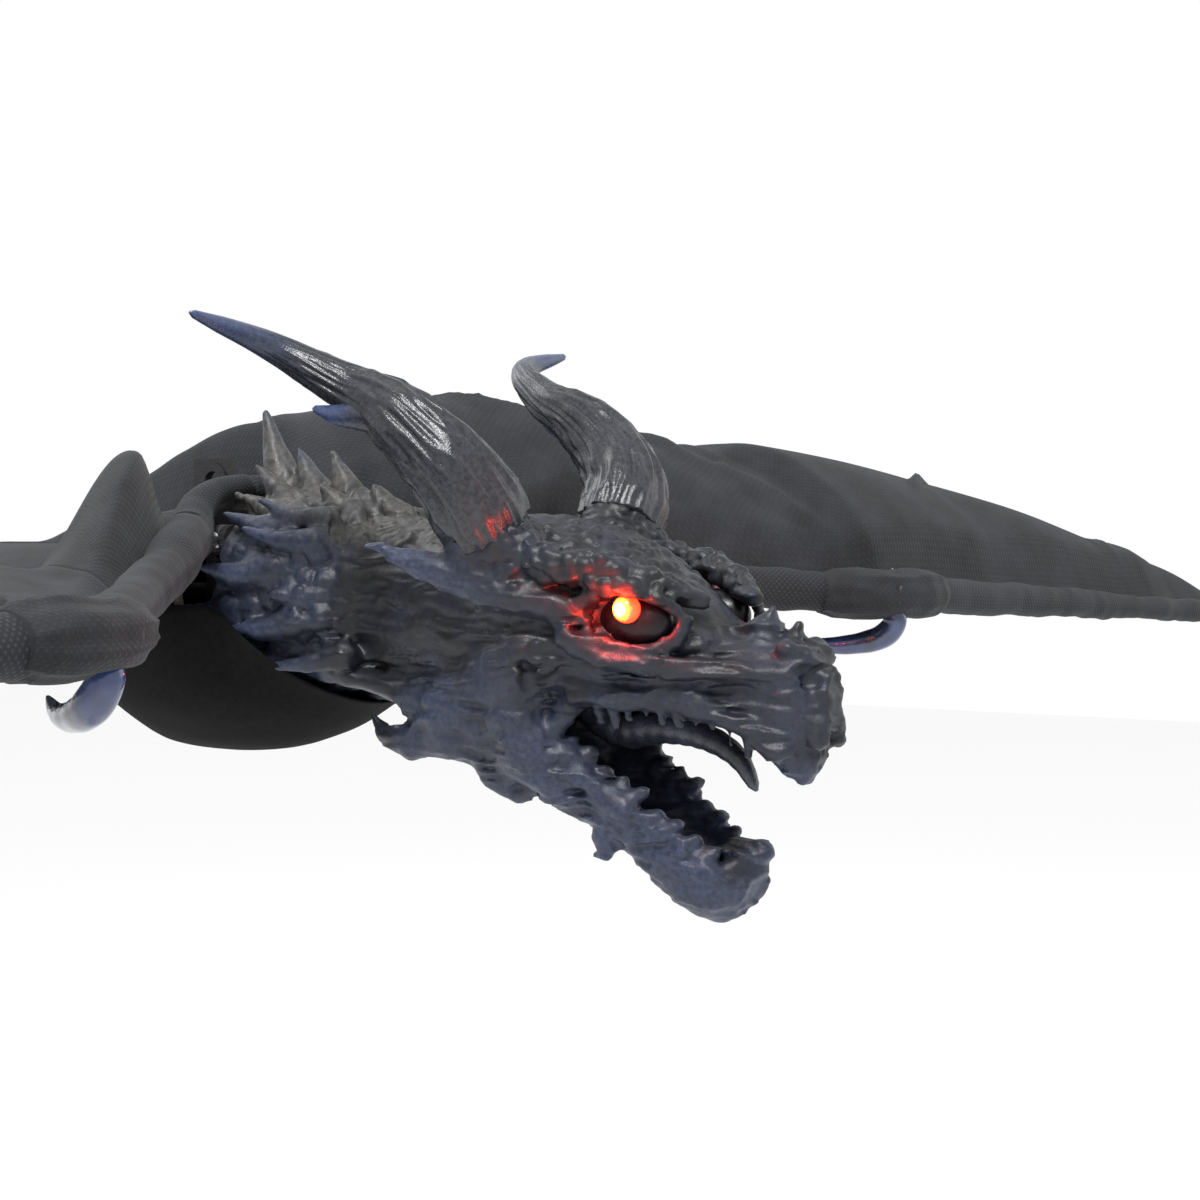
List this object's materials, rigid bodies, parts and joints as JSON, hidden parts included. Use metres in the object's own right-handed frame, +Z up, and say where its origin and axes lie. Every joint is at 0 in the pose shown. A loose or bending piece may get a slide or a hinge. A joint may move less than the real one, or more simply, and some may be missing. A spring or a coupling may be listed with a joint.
{
  "type": "hanging dragon decoration",
  "caption": "Flying dragon to hang from a ceiling: moulded horned head with lit eyes, open jaws and tongue, fabric body, and jointed cloth wings on rods.",
  "frame": {"origin": "centre of the hanger's eye, above the shoulders", "axes": "+Z up through the hanger's eye, +Y towards the tail, so the nose points along -Y and the left wing along +X"},
  "size_m": [1.5606, 0.9491, 0.2461],
  "materials": {
    "skin": "semi-gloss moulded latex with blue-grey airbrushing",
    "horn": "black semi-gloss, grooved, blue-grey tips",
    "tongue": "semi-gloss moulded latex",
    "claw": "glossy black with blue sheen",
    "lens": "clear orange-red dome",
    "led": "red lamp",
    "cloth": "charcoal non-woven cloth with a fine embossed grid",
    "lining": "black knitted cloth",
    "black_plastic": "moulded black",
    "steel": "zinc plated",
    "alloy": "drawn tube",
    "foam": "taped wire",
    "wire": "insulated lead",
    "cell": "printed jacket, plain"
  },
  "bodies": {
    "frame": {"shoulder_hub": "black_plastic", "hanger_tab": "steel", "hanger_bolt": "steel", "neck_tube": "alloy", "neck_ring": "black_plastic", "neck_screw": "steel", "spine_rod": "alloy", "collar_hoop": "foam", "body_sleeve": "lining", "tail_sleeve": "cloth", "back_panel": "cloth", "battery_case": "black_plastic", "battery_1": "cell", "battery_2": "cell", "front_contact": "steel", "rear_contact": "steel", "lead_plug": "black_plastic", "battery_lead": "wire", "left_shoulder_pin": "steel", "right_shoulder_pin": "steel"},
    "head": {"head_casting": "skin", "left_horn": "horn", "right_horn": "horn", "tongue": "tongue", "left_eye_lens": "lens", "right_eye_lens": "lens", "left_led": "led", "right_led": "led", "left_led_lead": "wire", "right_led_lead": "wire", "lead_socket": "black_plastic", "head_plug": "black_plastic", "plug_screw_1": "steel", "plug_screw_2": "steel"},
    "battery_door": {"battery_cover": "black_plastic"},
    "switch": {"switch_knob": "black_plastic"},
    "left_arm": {"left_arm_rod": "alloy", "left_arm_sleeve": "cloth", "left_inner_membrane": "cloth", "left_wrist_bracket": "black_plastic", "left_wrist_pin": "steel", "left_claw": "claw"},
    "left_hand": {"left_knuckle": "black_plastic", "left_finger_rod_1": "alloy", "left_finger_rod_2": "alloy", "left_finger_rod_3": "alloy", "left_finger_sleeve": "cloth", "left_outer_membrane": "cloth"},
    "right_arm": {"right_arm_rod": "alloy", "right_arm_sleeve": "cloth", "right_inner_membrane": "cloth", "right_wrist_bracket": "black_plastic", "right_wrist_pin": "steel", "right_claw": "claw"},
    "right_hand": {"right_knuckle": "black_plastic", "right_finger_rod_1": "alloy", "right_finger_rod_2": "alloy", "right_finger_rod_3": "alloy", "right_finger_sleeve": "cloth", "right_outer_membrane": "cloth"}
  },
  "joints": [
    {"name": "head_tilt", "type": "hinge", "parent": "frame", "child": "head", "pos_m": [0, -0.097, -0.054], "axis": [0, 1, 0], "range_deg": [-12, 12]},
    {"name": "battery_cover_slide", "type": "slide", "parent": "frame", "child": "battery_door", "axis": [0, -1, 0], "range_m": [0, 0.03]},
    {"name": "switch_slide", "type": "slide", "parent": "frame", "child": "switch", "axis": [1, 0, 0], "range_m": [0, 0.004]},
    {"name": "left_shoulder_flap", "type": "hinge", "parent": "frame", "child": "left_arm", "pos_m": [0.03, -0.032, -0.028], "axis": [0, -1, 0], "range_deg": [-20, 12]},
    {"name": "left_wrist_fold", "type": "hinge", "parent": "left_arm", "child": "left_hand", "pos_m": [0.29, -0.224, -0.058], "axis": [0, 1, 0], "range_deg": [0, 30]},
    {"name": "right_shoulder_flap", "type": "hinge", "parent": "frame", "child": "right_arm", "pos_m": [-0.03, -0.032, -0.028], "axis": [0, 1, 0], "range_deg": [-20, 12]},
    {"name": "right_wrist_fold", "type": "hinge", "parent": "right_arm", "child": "right_hand", "pos_m": [-0.29, -0.224, -0.058], "axis": [0, -1, 0], "range_deg": [0, 30]}
  ]
}
